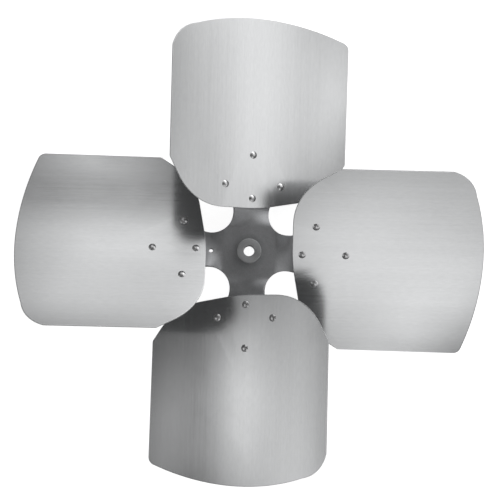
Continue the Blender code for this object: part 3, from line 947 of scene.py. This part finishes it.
@dataclass(frozen=True)
class TurnedHub:
    """The hub: barrel, shank through the spider and rolled collar, with its bore, cross hole and set screw.

    It is turned steel, satin with fine rings round the axis, and its set screw is blackened steel.
    """

    sheet: RolledSheet
    finish: SatinMetal = SatinMetal(
        "turned_steel",
        "#cacbcc",
        0.53,
        anisotropic=0.4,
        mottle=0.06,
        mottle_size=3.0 * MM,
        grit_size=0.6 * MM,
        turned_on_lathe=True,
    )
    screw_finish: SatinMetal = SatinMetal("black_oxide_steel", "#3c3d3f", 0.42)
    rise: float = 16.0 * MM
    radius: float = 14.3 * MM
    bore_radius: float = 6.35 * MM
    shank_radius: float = 9.5 * MM
    collar_radius: float = 11.6 * MM
    collar_height: float = 1.9 * MM
    spider_drop: float = 1.9 * MM
    spider_thickness: float = 3.0 * MM
    gap: float = 0.3 * MM
    chamfer: float = 0.35 * MM
    bore_chamfer: float = 0.5 * MM
    corner_rounding: float = 0.12 * MM
    screw_below_face: float = 7.5 * MM
    screw_hole_radius: float = 3.35 * MM
    drill_overshoot: float = 3.0 * MM
    drill_sides: int = 48
    sides: int = 128
    sharp_angle: float = math.radians(40.0)

    def profile(self) -> np.ndarray:
        """Section of the hub, from the bore's upper edge outwards and round.

        Returns:
            Rows of (radius, height).
        """
        face = self.sheet.rivet_plane + self.rise
        seat = self.sheet.rivet_plane - self.spider_drop + self.gap
        under = seat - self.spider_thickness - 2.0 * self.gap
        back = under - self.collar_height
        corners = [
            (self.bore_radius, face - self.bore_chamfer),
            (self.bore_radius + self.bore_chamfer, face),
            (self.radius - self.chamfer, face),
            (self.radius, face - self.chamfer),
            (self.radius, seat),
            (self.shank_radius, seat),
            (self.shank_radius, under),
            (self.collar_radius, under),
            (self.collar_radius, back + self.chamfer),
            (self.collar_radius - self.chamfer, back),
            (self.bore_radius + self.bore_chamfer, back),
            (self.bore_radius, back + self.bore_chamfer),
        ]
        return rounded(np.array(corners), self.corner_rounding)

    def build(self) -> list[bpy.types.Object]:
        """Builds the hub, drills its cross hole towards +Y and dresses the CAD set screw.

        Returns:
            The hub alone.
        """
        hub = lathe(self.profile(), self.sides, Closure.LOOP).to_object("hub_turned", self.finish.make())
        height = self.sheet.rivet_plane + self.rise - self.screw_below_face
        reach, hole = self.radius + self.drill_overshoot, self.screw_hole_radius
        drill_profile = np.array([(0.0, reach), (hole, reach), (hole, 0.0), (0.0, 0.0)])
        drill_surface = lathe(drill_profile, self.drill_sides, Closure.POLES)
        x, y, z = drill_surface.points.T
        drill_surface.points = np.column_stack([x, z, height - y])
        drill = drill_surface.to_object("drill", hub.data.materials[0])
        cut = hub.modifiers.new("cross_hole", "BOOLEAN")
        cut.operation, cut.solver, cut.object = "DIFFERENCE", "EXACT", drill
        evaluated = hub.evaluated_get(bpy.context.evaluated_depsgraph_get())
        drilled = bpy.data.meshes.new_from_object(evaluated)
        hub.modifiers.clear()
        hub.data = drilled
        bpy.data.objects.remove(drill, do_unlink=True)
        drilled.set_sharp_from_angle(angle=self.sharp_angle)
        attach(hub, "hub")
        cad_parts["set_screw"].material_slots[0].material = self.screw_finish.make()
        return [hub]


def rounded(corners: np.ndarray, radius: float) -> np.ndarray:
    """Cuts each corner of a closed section with a point a radius along each side, and one between them.

    The middle point lies halfway between the chord's middle and the corner, about where an arc would pass.

    Args:
        corners: Rows of (radius, height).
        radius: How far each cut reaches along the sides.

    Returns:
        Three rows for each corner.
    """
    before = np.roll(corners, 1, axis=0) - corners
    after = np.roll(corners, -1, axis=0) - corners
    before /= np.linalg.norm(before, axis=1)[:, None]
    after /= np.linalg.norm(after, axis=1)[:, None]
    first, last = corners + radius * before, corners + radius * after
    middle = 0.5 * corners + 0.25 * (first + last)
    return np.stack([first, middle, last], axis=1).reshape(-1, 2)


@dataclass(frozen=True)
class RivetSet:
    """Sixteen solid rivets: domed heads over the blades and flat formed tails under the spider's arms.

    They are plain aluminium, smooth from the setting tool, so each dome mirrors the studio in a bright
    crescent.
    """

    sheet: RolledSheet
    finish: SatinMetal = SatinMetal(
        "bright_aluminium_rivet", "#eeeeef", 0.31, mottle=0.03, mottle_size=2.0 * MM
    )
    head_radius: float = 4.4 * MM
    head_height: float = 1.85 * MM
    rim_height: float = 0.25 * MM
    rim_rounding: float = 0.1 * MM
    shank_radius: float = 2.4 * MM
    tail_radius: float = 3.7 * MM
    tail_height: float = 1.7 * MM
    tail_chamfer: float = 0.6 * MM
    grip: float = 5.2 * MM
    dome_steps: int = 12
    sides: int = 40
    sharp_angle: float = math.radians(50.0)

    def profile(self) -> np.ndarray:
        """Section of a rivet, from the dome's top round to the tail's middle.

        The dome is a spherical cap on a short upright rim. With H its height and R its radius, it ends at
        the slope 2 atan(H / R), and a point at slope a is at r = ball sin a, and H - ball (1 - cos a) above
        the rim.

        Returns:
            Rows of (radius, height above the blade).
        """
        end = 2.0 * math.atan((self.head_height - self.rim_height) / self.head_radius)
        ball = self.head_radius / math.sin(end)
        slope = np.linspace(0.0, end, self.dome_steps)
        dome = np.column_stack([ball * np.sin(slope), self.head_height - ball * (1.0 - np.cos(slope))])
        small, tail_end = self.rim_rounding, -self.grip - self.tail_height
        lower = [
            (self.head_radius, small),
            (self.head_radius - small, 0.0),
            (self.shank_radius, 0.0),
            (self.shank_radius, -self.grip),
            (self.tail_radius - small, -self.grip),
            (self.tail_radius, -self.grip - small),
            (self.tail_radius, tail_end + self.tail_chamfer),
            (self.tail_radius - self.tail_chamfer, tail_end),
            (0.0, tail_end),
        ]
        return np.vstack([dome, lower])

    def build(self) -> list[bpy.types.Object]:
        """Builds the rivets square to the sheet and lets them stand for the CAD rivets.

        Returns:
            The rivets.
        """
        material = self.finish.make()
        rivets = []
        for side in Side:
            for spot in RivetSpot:
                surface = lathe(self.profile(), self.sides, Closure.POLES)
                s, v = spot.value
                normal = self.sheet.normal(s)
                across = np.array([normal[2], 0.0, -normal[0]])
                upright = surface.points @ np.array([across, [0.0, 1.0, 0.0], normal])
                surface.points = turned(self.sheet.place(s, v, 0.0) + upright, side.value)
                cad_name = f"rivet_{side.name.lower()}_{spot.name.lower()}"
                rivet = surface.to_object(f"{cad_name}_domed", material)
                rivet.data.set_sharp_from_angle(angle=self.sharp_angle)
                attach(rivet, cad_name)
                rivets.append(rivet)
        return rivets


def attach(piece: bpy.types.Object, node: str) -> None:
    """Makes a piece ride on the rotor and stand for a CAD node, which is hidden.

    Args:
        piece: The new piece.
        node: The CAD node that it replaces.
    """
    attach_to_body(piece, BODY)
    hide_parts(node)


# Studio


@dataclass(frozen=True)
class Lamp:
    """A soft lamp outside the tent, as the oval spot of light that it makes on the cloth.

    Angles are in degrees. To a camera above, a sheet tilted by t towards an azimuth mirrors that azimuth at
    a height of 90 - 2 t, so each lamp brightens a band of one blade.
    """

    # Round from +X towards +Y.
    azimuth: float
    # Up from the horizon.
    height: float
    spread_round: float
    spread_up: float
    brightness: float

    def glow(self, azimuth: np.ndarray, height: np.ndarray) -> np.ndarray:
        """Works out the light on the cloth: brightness exp(-(a^2 + h^2) / 2).

        Here a and h are the distances round and up from the spot's middle, each over its own spread.

        Args:
            azimuth: Degrees round from +X towards +Y.
            height: Degrees above the horizon.

        Returns:
            Brightness, in the shape of the arguments.
        """
        off_round = ((azimuth - self.azimuth + 180.0) % 360.0 - 180.0) / self.spread_round
        off_up = (height - self.height) / self.spread_up
        return self.brightness * np.exp(-0.5 * (off_round**2 + off_up**2))


@dataclass(frozen=True)
class LightTent:
    """A dome of soft white cloth round the rotor, lit from outside by soft lamps and dim between them.

    The rolled blades mirror it, so its bright and dim parts are what shades them. The camera looks in from
    above and doesn't see the cloth itself.
    """

    radius: float = 1.0
    middle_height: float = 36.0 * MM
    lamps: tuple[Lamp, ...] = (
        # Mirrored by the upper blade, from its raised side to its low side.
        Lamp(338.6, 18.5, 26.2, 7.0, 1.07),
        Lamp(18.6, 40.8, 19.2, 8.5, 0.92),
        Lamp(33.8, 56.4, 11.1, 3.7, 0.92),
        # By the left blade.
        Lamp(68.7, 18.4, 21.2, 12.1, 1.20),
        Lamp(107.9, 23.4, 5.5, 8.1, 0.50),
        Lamp(59.5, 25.3, 19.4, 10.2, 1.19),
        Lamp(104.0, 39.2, 11.6, 5.4, 0.79),
        Lamp(115.3, 56.2, 8.9, 3.7, 0.83),
        # By the lower blade.
        Lamp(200.9, 23.7, 19.9, 7.9, 0.74),
        Lamp(193.2, 40.2, 7.7, 4.6, 0.92),
        Lamp(202.9, 56.2, 9.1, 3.5, 0.45),
        # By the right blade, as two tall spots.
        Lamp(281.4, 41.9, 9.1, 18.8, 0.82),
        Lamp(298.8, 52.8, 6.9, 16.3, 0.81),
    )
    unlit_cloth: float = 0.07
    around: int = 144
    rows: int = 97

    def brightness(self, azimuth: np.ndarray, height: np.ndarray) -> np.ndarray:
        """Adds the lamps' spots to the cloth, which stays unlit below the horizon. Angles are in degrees."""
        spots = sum(lamp.glow(azimuth, height) for lamp in self.lamps)
        return self.unlit_cloth + np.where(height < 0.0, 0.0, spots)

    def build(self) -> bpy.types.Object:
        """Builds the dome as a turned sphere, with its brightness as an attribute, and a white world.

        Returns:
            The dome.
        """
        slope = np.linspace(math.pi / 2.0, -math.pi / 2.0, self.rows)
        profile = self.radius * np.column_stack([np.cos(slope), np.sin(slope)]) + (0.0, self.middle_height)
        cloth = lathe(profile, self.around, Closure.POLES)
        material, tree = fresh_material("lit_tent_cloth")
        material.cycles.emission_sampling = "NONE"
        stored = add_node(tree, "ShaderNodeAttribute", settings={"attribute_name": TENT_BRIGHTNESS})
        light = add_node(tree, "ShaderNodeEmission", {"Color": WHITE, "Strength": stored.outputs["Fac"]})
        add_node(tree, "ShaderNodeOutputMaterial", {"Surface": light.outputs[0]})
        dome = cloth.to_object("light_tent", material)
        x, y, z = cloth.points.T
        height = np.degrees(np.arcsin(np.clip((z - self.middle_height) / self.radius, -1.0, 1.0)))
        level = self.brightness(np.degrees(np.arctan2(y, x)), height).astype(np.float32)
        dome.data.attributes.new(TENT_BRIGHTNESS, "FLOAT", "POINT").data.foreach_set("value", level)
        dome.visible_camera = False
        dome.visible_shadow = False
        world = bpy.data.worlds.new("white_surroundings")
        world.use_nodes = True
        world.node_tree.nodes["Background"].inputs["Color"].default_value = WHITE
        bpy.context.scene.world = world
        return dome


@dataclass(frozen=True)
class PaleFloor:
    """A plain sheet of white backing that glows a little, as on a light table, so its shadows stay faint."""

    reach: float = 5.0
    colour: str = "#f4f4f4"
    roughness: float = 0.9
    glow: float = 0.9

    def build(self) -> bpy.types.Object:
        """Builds the floor at z = 0.

        Shiny pieces don't mirror it, so their undersides stay as dim as the tent's foot.

        Returns:
            The floor.
        """
        unit = [(-1.0, -1.0, 0.0), (1.0, -1.0, 0.0), (1.0, 1.0, 0.0), (-1.0, 1.0, 0.0)]
        corner = self.reach * np.array(unit)
        material, tree = fresh_material("white_backing")
        inputs = {"Base Color": linear(self.colour), "Roughness": self.roughness}
        inputs |= {"Emission Color": WHITE, "Emission Strength": self.glow}
        shader = add_node(tree, "ShaderNodeBsdfPrincipled", inputs)
        add_node(tree, "ShaderNodeOutputMaterial", {"Surface": shader.outputs[0]})
        floor = Surface(corner, [np.array([[0, 1, 2, 3]])]).to_object("floor", material)
        floor.visible_glossy = False
        return floor


@dataclass(frozen=True)
class PhotoCamera:
    """The photograph's viewpoint: far above the hub and a few degrees off the fan axis.

    Pixels count from the photograph's upper left corner.
    """

    sheet: RolledSheet
    distance: float = 3.376
    tip_forward: float = math.radians(-3.4101)
    tip_sideways: float = math.radians(0.1171)
    roll: float = math.radians(-1.3014)
    # The rotor's radius in metres, over the same radius in pixels.
    metres_per_pixel: float = 0.2794 / 234.8
    hub_pixel: tuple[float, float] = (249.005, 251.430)
    # Blender measures a lens against its sensor, and both in millimetres.
    sensor_width: float = 36.0
    farthest: float = 20.0

    def build(self) -> bpy.types.Object:
        """Builds the camera: it looks at the hub along the turned axis, with the hub at its own pixel.

        Returns:
            The camera, which is the scene's own.
        """
        data = bpy.data.cameras.new("photo_camera")
        data.sensor_width = self.sensor_width
        data.lens = data.sensor_width * (self.distance / self.metres_per_pixel) / PHOTO_PIXELS
        data.shift_x = (PHOTO_PIXELS / 2.0 - self.hub_pixel[0]) / PHOTO_PIXELS
        data.shift_y = (self.hub_pixel[1] - PHOTO_PIXELS / 2.0) / PHOTO_PIXELS
        data.clip_end = self.farthest
        to_view = Matrix.Rotation(self.tip_forward, 3, "X") @ Matrix.Rotation(self.tip_sideways, 3, "Y")
        to_view @= Matrix.Rotation(self.roll, 3, "Z")
        to_world = to_view.transposed()
        place = Vector((0.0, 0.0, self.sheet.rivet_plane)) + to_world @ Vector((0.0, 0.0, self.distance))
        camera = bpy.data.objects.new("photo_camera", data)
        camera.matrix_world = Matrix.LocRotScale(place, to_world, None)
        bpy.context.scene.collection.objects.link(camera)
        bpy.context.scene.camera = camera
        return camera


def main() -> None:
    """Builds the camera, the studio and each sub-assembly in turn, and reports each piece."""
    logging.basicConfig(level=logging.INFO, format="%(name)s: %(message)s")
    bpy.context.scene.view_settings.view_transform = "Standard"
    sheet = RolledSheet()
    PhotoCamera(sheet).build()
    LightTent().build()
    PaleFloor().build()
    for part in (BladeSet(sheet), SpiderStamping(sheet), TurnedHub(sheet), RivetSet(sheet)):
        for piece in part.build():
            LOG.info("%s: %d faces", piece.name, len(piece.data.polygons))


if __name__ == "__main__":
    main()
